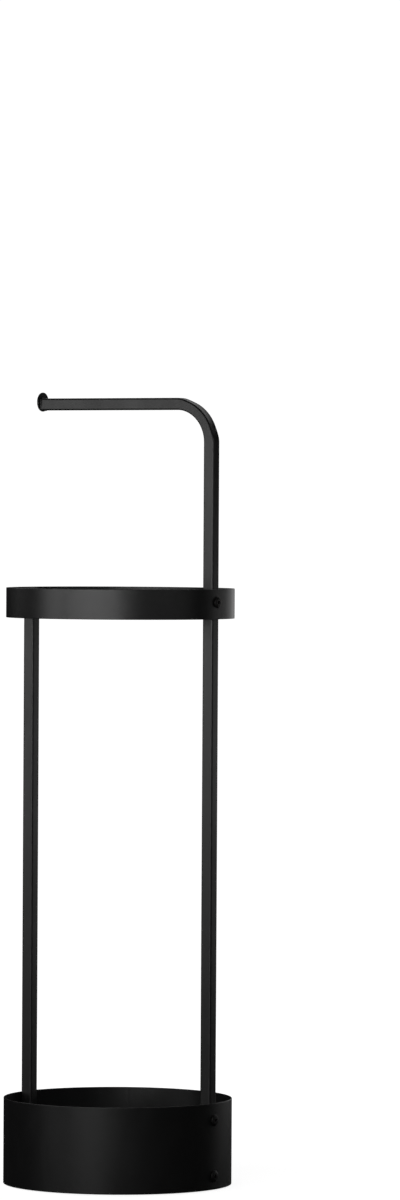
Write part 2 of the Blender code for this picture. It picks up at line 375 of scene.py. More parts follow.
def node_group(name: str, inputs: dict[str, float], work: Callable[[Board, Sockets], Sockets]) -> Tree:
    """A shader node group with number sockets.

    Args:
        name: the group's name.
        inputs: default value of each input.
        work: adds the group's nodes, and gives its results by name.

    Returns:
        The group.
    """
    tree = bpy.data.node_groups.new(name, "ShaderNodeTree")
    for label, value in inputs.items():
        socket = tree.interface.new_socket(name=label, in_out="INPUT", socket_type="NodeSocketFloat")
        socket.default_value = value
    board = Board(tree)
    results = work(board, board.add("NodeGroupInput").outputs)
    for label in results:
        tree.interface.new_socket(name=label, in_out="OUTPUT", socket_type="NodeSocketFloat")
    board.add("NodeGroupOutput", results)
    return tree


class Effects:
    """The node groups that several finishes share."""

    def __init__(self) -> None:
        """Builds every group once."""
        skin = {"Grit Scale": 2600.0, "Peel Scale": 420.0, "Peel Share": 0.5}
        self.grain = node_group("coat_grain", skin, self.grain_nodes)
        self.wear = node_group("edge_wear", {"Amount": 0.5, "Break Scale": 160.0}, self.wear_nodes)
        self.dust = node_group("settled_dust", {"Amount": 0.3, "Fleck Scale": 900.0}, self.dust_nodes)
        self.smudge = node_group("handling_smudge", {"Scale": 22.0}, self.smudge_nodes)
        self.lathe = node_group("turning_marks", {"Pitch": 0.00018}, self.lathe_nodes)

    @staticmethod
    def grain_nodes(board: Board, given: Sockets) -> Sockets:
        """A sprayed or moulded skin: fine grit on slow orange-peel waves, both in waves per metre."""
        grit = board.noise(given["Grit Scale"], 3.0, 0.6)
        peel = board.noise(given["Peel Scale"], 1.0, 0.4)
        more = board.math("SUBTRACT", peel, grit)
        height = board.math("MULTIPLY_ADD", more, given["Peel Share"], grit)
        return {"Height": height, "Speck": board.spread(grit, 0.56, 0.74)}

    @staticmethod
    def wear_nodes(board: Board, given: Sockets) -> Sockets:
        """Rubbed outer edges: the mesh's edge mark, broken up by a noise."""
        patch = board.spread(board.noise(given["Break Scale"], 4.0, 0.65), 0.40, 0.66, 0.25)
        return {"Mask": board.product(board.mark(Mark.EDGE), patch, given["Amount"])}

    @staticmethod
    def dust_nodes(board: Board, given: Sockets) -> Sockets:
        """Dust settled on what faces up: the normal's Z, broken up by two noises."""
        up = board.add("SeparateXYZ", {0: board.add("NewGeometry").outputs["Normal"]}).outputs["Z"]
        lying = board.spread(up, 0.55, 0.98)
        cloud = board.spread(board.noise(38.0, 4.0, 0.6), 0.35, 0.70, 0.25)
        fleck = board.spread(board.noise(given["Fleck Scale"], 2.0, 0.7), 0.50, 0.72, 0.15)
        return {"Mask": board.product(lying, cloud, fleck, given["Amount"])}

    @staticmethod
    def smudge_nodes(board: Board, given: Sockets) -> Sockets:
        """Handling marks: slow, stretched patches that change the gloss, from -1 to 1."""
        tall = board.add("Mapping", {"Vector": board.place, "Scale": (1.0, 1.0, 0.45)}).outputs[0]
        inputs = {"Vector": tall, "Scale": given["Scale"], "Detail": 5.0, "Distortion": 0.8}
        return {"Value": board.spread(board.add("TexNoise", inputs).outputs[0], 0.32, 0.68, -1.0)}

    @staticmethod
    def lathe_nodes(board: Board, given: Sockets) -> Sockets:
        """Turning marks: waves along the mesh's distance from its axis, uneven from groove to groove."""
        turns = board.math("DIVIDE", board.mark(Mark.LATHE), given["Pitch"])
        wave = board.math("SINE", board.math("MULTIPLY", turns, FULL_TURN))
        inputs = {"W": turns, "Scale": 0.7, "Detail": 2.0}
        uneven = board.add("TexNoise", inputs, noise_dimensions="1D").outputs[0]
        return {"Height": board.math("MULTIPLY", wave, uneven)}


# ---- finishes


@dataclass(frozen=True)
class Finish:
    """What every finish has: a name, a slot, and the numbers on the shader's own sockets."""

    name: str
    slot: str
    base: Color
    roughness: float
    metallic: float = 0.0
    specular: float = 0.5
    relief: float = 0.00002  # depth of the skin's texture
    rubbed: Color = (0.05, 0.05, 0.05)  # where an edge is worn

    def paint(self, board: Board, effects: Effects) -> Painted:
        """What varies over the surface."""
        raise NotImplementedError

    def dimmed(self, share: float) -> Color:
        """The base colour at a share of its brightness."""
        return tuple(share * c for c in self.base)

    def material(self, effects: Effects) -> bpy.types.Material:
        """The material: even values on its shader, and what varies from the finish's paint."""
        made = bpy.data.materials.new(self.name)
        made.use_nodes = True
        made.diffuse_color = (*self.base, 1.0)
        board = Board(made.node_tree)
        color, rough, height = self.paint(board, effects)
        bumped = board.add("Bump", {"Height": height, "Distance": self.relief, "Strength": 1.0})
        board.feed(made.node_tree.nodes["Principled BSDF"], {
            "Base Color": color, "Roughness": rough, "Metallic": self.metallic,
            "Specular IOR Level": self.specular, "Normal": bumped.outputs[0],
        })
        return made


@dataclass(frozen=True)
class PowderCoat(Finish):
    """Satin black powder coat: grit over orange peel, rubbed edges, handling marks and a little dust."""

    relief: float = 0.000028
    rubbed: Color = (0.030, 0.030, 0.031)
    dust_color: Color = (0.16, 0.155, 0.145)
    dust: float = 0.30
    wear: float = 0.55
    cloud_scale: float = 55.0

    def paint(self, board: Board, effects: Effects) -> Painted:
        """What varies over the surface."""
        grain = board.group(effects.grain)
        wear = board.group(effects.wear, {"Amount": self.wear})["Mask"]
        dust = board.group(effects.dust, {"Amount": self.dust})["Mask"]
        smudge = board.group(effects.smudge)["Value"]
        cloud = board.spread(board.noise(self.cloud_scale, 3.0), 0.3, 0.7)
        color = board.blend(cloud, self.dimmed(0.82), self.base)
        color = board.blend(board.math("MULTIPLY", grain["Speck"], 0.30), color, self.rubbed)
        color = board.blend(wear, color, self.rubbed)
        color = board.blend(dust, color, self.dust_color)
        gloss = (smudge, 0.035), (grain["Speck"], 0.05), (wear, -0.10), (dust, 0.45)
        return color, board.total(self.roughness, *gloss), grain["Height"]


@dataclass(frozen=True)
class TurnedSteel(Finish):
    """Turned steel, black-oxidised or zinc-plated: fine grooves about its axis and blotchy plating."""

    relief: float = 0.000012
    rubbed: Color = (0.16, 0.155, 0.15)
    blotch: float = 0.35
    cloud_scale: float = 480.0

    def paint(self, board: Board, effects: Effects) -> Painted:
        """What varies over the surface."""
        wear = board.group(effects.wear, {"Amount": 0.8, "Break Scale": 700.0})["Mask"]
        cloud = board.spread(board.noise(self.cloud_scale, 4.0, 0.6), 0.3, 0.7)
        color = board.blend(cloud, self.dimmed(1 - self.blotch), self.base)
        color = board.blend(wear, color, self.rubbed)
        rough = board.total(self.roughness, (cloud, 0.10), (wear, -0.08))
        return color, rough, board.group(effects.lathe)["Height"]


@dataclass(frozen=True)
class MouldedPlastic(Finish):
    """Moulded plastic with a spark-eroded skin, and dried water marks where water stands."""

    mark_color: Color = (0.085, 0.085, 0.082)
    dust_color: Color = (0.22, 0.21, 0.20)
    drop_scale: float = 85.0  # drops in a metre
    drop_edge: float = 0.36  # where a drop dried, from its middle to its neighbour's
    bend_scale: float = 60.0
    bend: float = 0.008  # how far the drops' edges wander

    def drop_rims(self, board: Board) -> Socket:
        """The rims left by dried drops: thin lines at one distance in bent cells."""
        place = board.place
        inputs = {"Vector": place, "Scale": self.bend_scale, "Detail": 2.0}
        ripple = board.add("TexNoise", inputs).outputs["Color"]
        shift = board.add("VectorMath", {0: ripple, 1: (0.5,) * 3}, operation="SUBTRACT").outputs[0]
        inputs = {0: shift, 1: (self.bend,) * 3, 2: place}
        bent = board.add("VectorMath", inputs, operation="MULTIPLY_ADD").outputs[0]
        inputs = {"Vector": bent, "Scale": self.drop_scale, "Randomness": 1.0}
        cells = board.add("TexVoronoi", inputs).outputs["Distance"]
        off = board.math("ABSOLUTE", board.math("SUBTRACT", cells, self.drop_edge))
        return board.spread(off, 0.0, 0.05, 1.0, 0.0)

    def paint(self, board: Board, effects: Effects) -> Painted:
        """What varies over the surface."""
        skin = {"Grit Scale": 3400.0, "Peel Scale": 900.0, "Peel Share": 0.25}
        wear = board.group(effects.wear, {"Amount": 0.35})["Mask"]
        dust = board.group(effects.dust, {"Amount": 0.22})["Mask"]
        smudge = board.group(effects.smudge, {"Scale": 30.0})["Value"]
        patch = board.spread(smudge, -0.2, 1.0, 0.0, 0.6)
        marks = board.product(self.drop_rims(board), board.mark(Mark.POOL), patch)
        color = board.blend(wear, self.base, self.rubbed)
        color = board.blend(marks, color, self.mark_color)
        color = board.blend(dust, color, self.dust_color)
        rough = board.total(self.roughness, (smudge, 0.04), (marks, 0.2))
        return color, rough, board.group(effects.grain, skin)["Height"]


@dataclass(frozen=True)
class FootRubber(Finish):
    """Matte black rubber: a fine skin, grey where it has picked up dust from the floor."""

    relief: float = 0.00003
    rubbed: Color = (0.060, 0.058, 0.055)
    cloud_scale: float = 210.0

    def paint(self, board: Board, effects: Effects) -> Painted:
        """What varies over the surface."""
        skin = {"Grit Scale": 1900.0, "Peel Scale": 300.0, "Peel Share": 0.35}
        wear = board.group(effects.wear, {"Amount": 0.9, "Break Scale": 400.0})["Mask"]
        cloud = board.spread(board.noise(self.cloud_scale, 4.0, 0.65), 0.42, 0.72, 0.0, 0.7)
        color = board.blend(cloud, self.base, self.rubbed)
        color = board.blend(wear, color, self.rubbed)
        rough = board.total(self.roughness, (cloud, 0.12))
        return color, rough, board.group(effects.grain, skin)["Height"]


COAT = PowderCoat("satin_black_powder_coat", "powder_coat", (0.0065, 0.0065, 0.0067), 0.37)
SCREW_BLACK = TurnedSteel(
    "black_oxide_screw", "black_screw", (0.022, 0.0215, 0.021), 0.40, 0.6, 0.35,
    rubbed=(0.07, 0.068, 0.066),
)
ZINC = TurnedSteel(
    "bright_zinc_nut", "zinc_nut", (0.62, 0.63, 0.66), 0.24, 1.0, rubbed=(0.80, 0.80, 0.82), blotch=0.15
)
TRAY_PLASTIC = MouldedPlastic("moulded_tray_plastic", "tray_plastic", (0.019, 0.019, 0.020), 0.50)
PLUG_PLASTIC = MouldedPlastic("moulded_plug_plastic", "plug_plastic", (0.021, 0.021, 0.022), 0.52)
RUBBER = FootRubber("black_foot_rubber", "rubber_pad", (0.012, 0.012, 0.012), 0.78)


@dataclass
class Workshop:
    """Puts a surface into the scene as a finished piece that rides on a body."""

    effects: Effects = field(default_factory=Effects)
    made: dict[str, bpy.types.Material] = field(default_factory=dict)

    def material(self, finish: Finish) -> bpy.types.Material:
        """The finish's material, built the first time that it is asked for."""
        if finish.name not in self.made:
            self.made[finish.name] = finish.material(self.effects)
        return self.made[finish.name]

    def place(
        self, name: str, grid: Grid, finish: Finish, node: str | None = None, body: str = STAND
    ) -> None:
        """Makes a piece.

        Args:
            name: the piece's name.
            grid: its surface, in place.
            finish: what it is finished in.
            node: the CAD node that it stands for, if any.
            body: the body that it rides on.
        """
        mesh = grid.mesh(name)
        mesh.materials.append(self.material(finish))
        piece = bpy.data.objects.new(name, mesh)
        bpy.context.scene.collection.objects.link(piece)
        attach(piece, body)
        if node:
            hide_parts(node)
        LOG.info("%s: %d faces, %s, on %s", name, len(mesh.polygons), finish.name, body)


# ---- sub-assemblies


@dataclass
class RolledBand:
    """A band rolled from sheet steel, butt-welded and ground: the drum's shell or the guide ring."""

    node: str
    sheet: float = 0.0010
    edge: float = 0.00042
    seam_angle: float = math.radians(118)
    seam_rise: float = 0.00009
    seam_reach: float = 0.0022
    seam_points: int = 25
    steps: int = 216

    def angles(self, radius: float) -> Floats:
        """Even angles, with more of them across the seam."""
        reach = self.seam_reach / radius
        across = np.linspace(-1.5, 1.5, self.seam_points) * reach + self.seam_angle
        even = evenly(self.steps)
        far = np.abs(even - self.seam_angle) > 1.6 * reach
        return np.sort(np.concatenate([even[far], across]))

    def build(self, shop: Workshop) -> None:
        """A turned band with rounded rims. The seam pushes its skin out by a smooth rise across the weld."""
        low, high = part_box(self.node)
        outer, inner = high.x - self.seam_rise, high.x - self.sheet
        angles = self.angles(high.x)
        corners = [(outer, low.z), (outer, high.z), (inner, high.z), (inner, low.z)]
        grid = turned(Outline.filleted(corners, [self.edge] * 4), angles)
        radius = np.linalg.norm(grid.points[..., :2], axis=-1)
        side = np.clip((radius - inner) / (outer - inner), 0, 1) * 2 - 1
        away = (angles - self.seam_angle) * outer
        rise = self.seam_rise * bump(away, self.seam_reach)[:, None] * side
        grid.points[..., :2] *= (1 + rise / radius)[..., None]
        shop.place(self.node.split("_")[0] + "_band", grid, COAT, self.node)


@dataclass
class FloorPlate:
    """The drum's floor and the tacks that weld it in from below."""

    edge: float = 0.0004
    steps: int = 180
    tacks: int = 8
    tack_length: float = 0.011
    tack_radius: float = 0.0013
    tack_inset: float = 0.0002
    ripple: float = 0.10  # share of the tack's radius
    ripple_waves: float = 22

    def build(self, shop: Workshop) -> None:
        """A turned plate, and a row of rippled tacks round its lower edge."""
        low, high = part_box("floor_plate")
        outline = Outline.disc(high.x, low.z, high.z, self.edge, self.edge)
        shop.place("drum_floor", turned(outline, evenly(self.steps)), COAT, "floor_plate")
        for number in range(self.tacks):
            middle = FULL_TURN * (number + 0.25) / self.tacks
            grid = self.tack(high.x - self.tack_inset, low.z, middle)
            shop.place(f"floor_weld_{number + 1}", grid, COAT)

    def tack(self, ring_radius: float, height: float, middle: float) -> Grid:
        """A weld tack: a circle carried along an arc, its radius falling to 0 at both ends and rippled.

        Args:
            ring_radius: radius of the arc that it follows.
            height: height of that arc.
            middle: angle of its middle.

        Returns:
            The tack's surface.
        """
        t, around = np.linspace(-1, 1, 41)[None, :], evenly(16)[:, None]
        swell = np.sqrt(np.clip(1 - t**2, 0, 1)) * (1 + self.ripple * np.cos(self.ripple_waves * t))
        radius = self.tack_radius * swell
        angle = middle + t * self.tack_length / 2 / ring_radius + 0 * around
        out = ring_radius - 0.4 * self.tack_radius + radius * np.cos(around)
        z = height + 0.6 * radius * np.sin(around)
        points = np.stack([out * np.cos(angle), out * np.sin(angle), z], axis=-1)
        return Grid(points, Wrap.FIRST, {Mark.EDGE: np.zeros(angle.shape)})


@dataclass
class TubePost:
    """A post of square tube: straight up, and on the hook side bent over into the hanging arm."""

    side: Side
    wall: float = 0.001
    corner: float = 0.0015
    bend_radius: float = 0.0335
    bend_steps: int = 40
    straight_steps: int = 10
    cut_edge: float = 0.00025
    flattening: float = 0.0013  # how far the outer wall is drawn in round the bend
    dish: float = 0.0002  # how much further its middle sinks

    def __post_init__(self) -> None:
        """Takes the tube's size and the post's lines from its CAD node."""
        low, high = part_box(self.node)
        self.tube = high.y - low.y
        self.foot = low.z
        self.x = self.side.value * (max(abs(low.x), abs(high.x)) - self.tube / 2)
        self.arm_height = high.z - self.tube / 2
        self.bent = self.side is Side.HOOK
        self.rise = self.arm_height - self.bend_radius - low.z if self.bent else high.z - low.z
        self.sweep = self.bend_radius * QUARTER_TURN if self.bent else 0.0
        self.reach = self.x - self.bend_radius - low.x if self.bent else 0.0

    @property
    def node(self) -> str:
        """The CAD node that the post stands for."""
        return self.side.name.lower() + "_post"

    def line(self, along: Floats) -> tuple[Floats, Floats]:
        """The centre line and the direction that the section's first side faces, at lengths along it.

        Up by the rise, then round a quarter circle, C + R (cos a, sin a), then back along -X.
        """
        up = np.clip(along, None, self.rise)
        angle = np.clip(along - self.rise, 0, self.sweep) / self.bend_radius
        back = np.clip(along - self.rise - self.sweep, 0, None)
        x = self.x - self.bend_radius * (1 - np.cos(angle)) - back
        z = self.foot + up + self.bend_radius * np.sin(angle)
        zero = np.zeros_like(x)
        return np.stack([x, zero, z], axis=-1), np.stack([np.cos(angle), zero, np.sin(angle)], axis=-1)

    def lengths(self) -> Floats:
        """Where the skin has its stations: few on the straights and many round the bend."""
        straight = np.linspace(0, self.rise, self.straight_steps + 1)
        if not self.bent:
            return straight
        bent_by = self.rise + self.sweep
        bend = np.linspace(self.rise, bent_by, self.bend_steps + 1)
        arm = np.linspace(bent_by, bent_by + self.reach, self.straight_steps + 1)
        return np.concatenate([straight, bend[1:], arm[1:]])

    def wall_outline(self) -> tuple[Floats, Floats, Floats]:
        """The wall's outline, in at one cut end, along the inside, out at the other, and back outside.

        Returns:
            The length along the tube, the inset from its skin and the edge mask of each point.
        """
        stations = self.lengths()
        total = stations[-1]
        ends = [(0, 0), (0, self.wall), (total, self.wall), (total, 0)]
        cut = Outline.filleted(ends, [self.cut_edge] * 4, 3)
        rows = np.column_stack([cut.points, cut.edge])
        half = len(rows) // 2
        blank = np.zeros(len(stations) - 2)
        inside = np.column_stack([stations[1:-1], blank + self.wall, blank])
        outside = np.column_stack([stations[-2:0:-1], blank, blank])
        along, inset, edge = np.concatenate([rows[:half], inside, rows[half:], outside]).T
        return along, inset, edge

    def build(self, shop: Workshop) -> None:
        """Carries the wall's outline round the section at every length.

        P = C(s) + A(s) u + Y v, where (u, v) is the section's point at that inset. A bent tube's outer wall
        is drawn in: round the bend u falls by the flattening in proportion to u, and by the dish across the
        wall's middle. Both come in and out smoothly, as sin^2 does, over a quarter of the bend.
        """
        along, inset, edge = self.wall_outline()
        section = SquareSection(self.tube, self.corner)
        uv = section.points(inset)
        u, v = uv[..., 0], uv[..., 1]
        turn = np.clip((along - self.rise) / max(self.sweep, TINY), 0, 1)
        bending = np.sin(np.clip(4 * np.minimum(turn, 1 - turn), 0, 1) * QUARTER_TURN) ** 2
        flat = np.clip(1 - (v / (self.tube / 2 - self.corner)) ** 2, 0, 1)
        faces_out = (section.normal[:, 0] > 0.99)[:, None]
        drawn_in = self.flattening * np.clip(u / (self.tube / 2), 0, 1)
        u = u - (drawn_in + self.dish * faces_out * flat) * bending
        centre, across = self.line(along)
        points = centre + across * u[..., None] + np.array([0.0, 1.0, 0.0]) * v[..., None]
        outer_skin = 1 - np.clip(inset / self.wall, 0, 1)
        marks = {Mark.EDGE: np.maximum(section.edge[:, None] * outer_skin, edge)}
        shop.place(self.node + "_tube", Grid(points, Wrap.BOTH, marks), COAT, self.node)


@dataclass
class ArmEnd:
    """The round stop on the arm's end and the weld bead that joins them."""

    edge: float = 0.0005
    bead: float = 0.0007
    bead_gap: float = 0.0003  # middle of the bead from the disc
    ripple: float = 0.12
    ripples: int = 54

    def build(self, shop: Workshop, post: TubePost) -> None:
        """A turned disc laid on its side, and a bead carried round the tube's outline."""
        low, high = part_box("arm_end_stop")
        outline = Outline.disc((high.z - low.z) / 2, 0, high.x - low.x, self.edge, self.edge)
        seat = Matrix.Translation(Vector((high.x, 0, (low.z + high.z) / 2)))
        grid = turned(outline, evenly(96)).moved(seat @ Matrix.Rotation(-QUARTER_TURN, 4, "Y"))
        shop.place("arm_end_disc", grid, COAT, "arm_end_stop")
        shop.place("arm_end_weld", self.weld(post, high.x), COAT)

    def weld(self, post: TubePost, disc_face: float) -> Grid:
        """The bead: P(a, b) = tube outline(a) + r(a) (N cos b + X sin b), with r rippled round the tube."""
        section = SquareSection(post.tube, post.corner, 8, 12)
        uv = section.points(np.array([self.bead * 0.35]))
        normal = section.normal[:, None, :]
        around = evenly(12)[None, :]
        phase = np.linspace(0, FULL_TURN * self.ripples, len(uv))[:, None]
        radius = self.bead * (1 + self.ripple * np.sin(phase))
        out = radius * np.cos(around)
        x = disc_face + self.bead_gap + radius * np.sin(around)
        y = uv[..., 1] + normal[..., 1] * out
        z = post.arm_height + uv[..., 0] + normal[..., 0] * out
        return Grid(np.stack([x, y, z], axis=-1), Wrap.BOTH, {Mark.EDGE: 0.3 + 0 * y})


@dataclass
class PostPlug:
    """The moulded plug in the rear post's open end: a crowned cap with a ribbed spigot below."""

    cap: float = 0.0012
    crown: float = 0.00035
    inset: float = 0.0013  # of the spigot from the cap's side
    lead: float = 0.0006  # height of the spigot's sloping end
    rib: float = 0.00012
    ribs: int = 3
    corner: float = 0.0012

    def build(self, shop: Workshop) -> None:
        """Carries an outline of (half width, height) round a rounded square, closed at both poles."""
        low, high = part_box("rear_post_plug")
        half, bottom = (high.y - low.y) / 2, high.z - self.cap
        spigot = half - self.inset
        z = np.linspace(low.z + self.lead, bottom - 0.0002, 33)
        wave = np.sin((z - z[0]) / (z[-1] - z[0]) * math.pi * self.ribs) ** 2
        stem = np.stack([spigot - self.rib * (1 - wave), z], axis=1)
        corners = [(half, bottom), (half, high.z - self.crown), (0, high.z), (0, bottom)]
        cap = Outline.filleted(corners, [0.0002, 0.0005, 0, 0])
        rounded = len(cap.points) // 2
        tip = [(0, low.z), (spigot - 0.0005, low.z)]
        widths, heights = np.concatenate([tip, stem, cap.points[:rounded], [(0, high.z)]]).T
        edge = np.concatenate([np.zeros(len(tip) + len(stem)), cap.edge[:rounded], [0.0]])
        uv = SquareSection(2 * half, self.corner, least_corner=0.0008).points(half - widths)
        points = np.concatenate([uv, np.broadcast_to(heights[:, None], (*uv.shape[:2], 1))], axis=-1)
        points[..., 0] += (low.x + high.x) / 2
        marks = {Mark.EDGE: np.broadcast_to(edge, uv.shape[:2])}
        shop.place("rear_post_plug_cap", Grid(points, Wrap.FIRST, marks), PLUG_PLASTIC, "rear_post_plug")


@dataclass
class Fasteners:
    """The button-head screws and the rivet nuts behind them, one pair at each place on both posts."""

    head_radius: float = 0.0050
    head_height: float = 0.0016
    head_rim: float = 0.0004
    flat_radius: float = 0.0028
    shank_radius: float = 0.0025
    thread_depth: float = 0.00035
    thread_fade: float = 0.0006
    pitch: float = 0.0008
    length: float = 0.008
    tip_chamfer: float = 0.0005
    socket_flat: float = 0.0015  # centre to flat of the hexagon
    socket_depth: float = 0.0012
    steps: int = 72
    nut_clearance: float = 0.0003
    nut_neck: float = 0.0034
    nut_body: float = 0.00372
    nut_shoulder: float = -0.0013
    flute: float = 0.00007
    flutes: int = 24
    nut_steps: int = 120

    def build(self, shop: Workshop) -> None:
        """Turns one screw and one nut towards each side and seats them where the CAD has them."""
        for side in Side:
            for level in Level:
                place = f"{side.name.lower()}_{level.value}"
                screw, nut = "screw_" + place, "rivet_nut_" + place
                turn = Matrix.Rotation(side.value * QUARTER_TURN, 4, "Y")
                roll = Matrix.Rotation(0.7 * len(place) + side.value, 4, "Z")
                low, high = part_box(screw)
                tip = max(abs(low.x), abs(high.x))
                seat = Vector((side.value * (tip - self.head_height), 0, (low.z + high.z) / 2))
                grid = self.screw().moved(Matrix.Translation(seat) @ turn @ roll)
                shop.place(screw + "_m5", grid, SCREW_BLACK, screw)
                low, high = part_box(nut)
                seat.x = side.value * max(abs(low.x), abs(high.x))
                grid = self.nut(high.x - low.x).moved(Matrix.Translation(seat) @ turn)
                shop.place(nut + "_m5", grid, ZINC, nut)

    def screw(self) -> Grid:
        """A button-head screw along Z, its head seated at height 0.

        Rows run from the tip up the thread, under the head, over the dome, and down into the socket.
        The thread's radius is core + depth times a triangle wave of z / pitch - a / 2 pi, which fades at
        both ends. The dome is a quarter ellipse. The socket's rows pass from a circle to the hexagon
        f / cos(((a + 30) mod 60) - 30), in degrees.
        """
        top, flat, rim, head = self.head_height, self.flat_radius, self.head_rim, self.head_radius
        shank, depth, end = self.shank_radius, self.socket_depth, -self.length
        core, lip = shank - self.thread_depth, self.socket_flat * 1.16
        z = np.linspace(end + self.tip_chamfer, -0.0004, 84)
        fade = np.clip(np.minimum(z - z[0], z[-1] - z) / self.thread_fade, 0, 1)
        s = np.linspace(0, 1, 9)[1:] * QUARTER_TURN
        dome = np.stack([flat + (head - flat) * np.cos(s), rim + (top - rim) * np.sin(s)], axis=1)
        socket = [(self.socket_flat, top - down) for down in (0.0003, 0.5 * depth, depth)]
        parts = (  # points (radius, height), then their share of thread, worn edge and hexagon
            ([(0, end), (core - 0.0006, end), (core, end + self.tip_chamfer)], 0, 0, 0),
            (np.stack([0 * z + core, z], axis=1), fade, 0, 0),
            ([(shank, -0.0002), (shank, 0), (head - 0.00025, 0)], 0, 0, 0),
            ([(head - 0.00006, 0.00006), (head, 0.0002), (head, rim)], 0, 0.8, 0),
            (dome, 0, 0, 0),
            ([(lip, top), (lip * 0.985, top - 0.00008)], 0, 1, 0),
            (socket + [(0.0006, top - depth - 0.0002)], 0, 0, 1),
            ([(0, top - depth - 0.0003)], 0, 0, 0),
        )
        rows_r, rows_z, thread, edge, hexagon = np.concatenate([
            [*np.transpose(points), *(np.full(len(points), share) for share in shares)]
            for points, *shares in parts
        ], axis=1)
        a = evenly(self.steps)[:, None]
        wave = np.abs(2 * ((rows_z / self.pitch - a / FULL_TURN) % 1) - 1)
        sector = (a + math.pi / 6) % (math.pi / 3) - math.pi / 6
        r = rows_r * (1 + hexagon * (1 / np.cos(sector) - 1)) + self.thread_depth * thread * wave
        points = np.stack([r * np.cos(a), r * np.sin(a), np.broadcast_to(rows_z, r.shape)], axis=-1)
        return Grid(points, Wrap.FIRST, {Mark.EDGE: np.broadcast_to(edge, r.shape), Mark.LATHE: r})

    def nut(self, length: float) -> Grid:
        """A bored rivet nut along Z with its mouth at height 0: a plain neck and a straight-fluted body."""
        bore, neck, body = self.shank_radius + self.nut_clearance, self.nut_neck, self.nut_body
        shoulder = self.nut_shoulder
        corners = [
            (bore, 0), (neck, 0), (neck, shoulder), (body, shoulder), (body, -length), (bore, -length),
        ]
        outline = Outline.filleted(corners, [0.0001, 0.0001, 0, 0.00015, 0.0003, 0.0002], 3)
        angles = evenly(self.nut_steps)
        grid = turned(outline, angles)
        radius = grid.marks[Mark.LATHE]
        off = grid.points[..., 2] - (shoulder - length) / 2
        depth = self.flute * (radius > neck) * bump(off, (length + shoulder) / 2)
        shrink = 1 - depth * (1 + np.cos(self.flutes * angles[:, None])) / radius
        grid.points[..., :2] *= shrink[..., None]
        return grid


@dataclass
class FootPads:
    """The rubber pads under the floor plate, with moulded grip rings on their soles."""

    edge: float = 0.0005
    top_edge: float = 0.0002
    groove: float = 0.00035
    grooves: int = 3
    count: int = 4

    def build(self, shop: Workshop) -> None:
        """A turned pad at each CAD pad's place. Grooves lift the sole by a cosine between two radii."""
        for number in range(1, self.count + 1):
            node = f"foot_pad_{number}"
            low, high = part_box(node)
            radius = (high.y - low.y) / 2
            sole = np.linspace(0, radius - 2.4 * self.edge, 64)
            inner, outer = 0.25 * radius, 0.82 * radius
            phase = np.clip((sole - inner) / (outer - inner), 0, 1)
            lift = self.groove * (0.5 - 0.5 * np.cos(FULL_TURN * self.grooves * phase))
            rim = Outline.disc(radius, 0, high.z - low.z, self.edge, self.top_edge)
            after = len(rim.points) // 4
            outline = Outline(
                np.concatenate([np.stack([sole, lift], axis=1), rim.points[after:]]),
                np.concatenate([np.zeros(len(sole)), rim.edge[after:]]),
            )
            middle = Matrix.Translation(((low.x + high.x) / 2, (low.y + high.y) / 2, low.z))
            shop.place(node + "_rubber", turned(outline, evenly(72)).moved(middle), RUBBER, node)


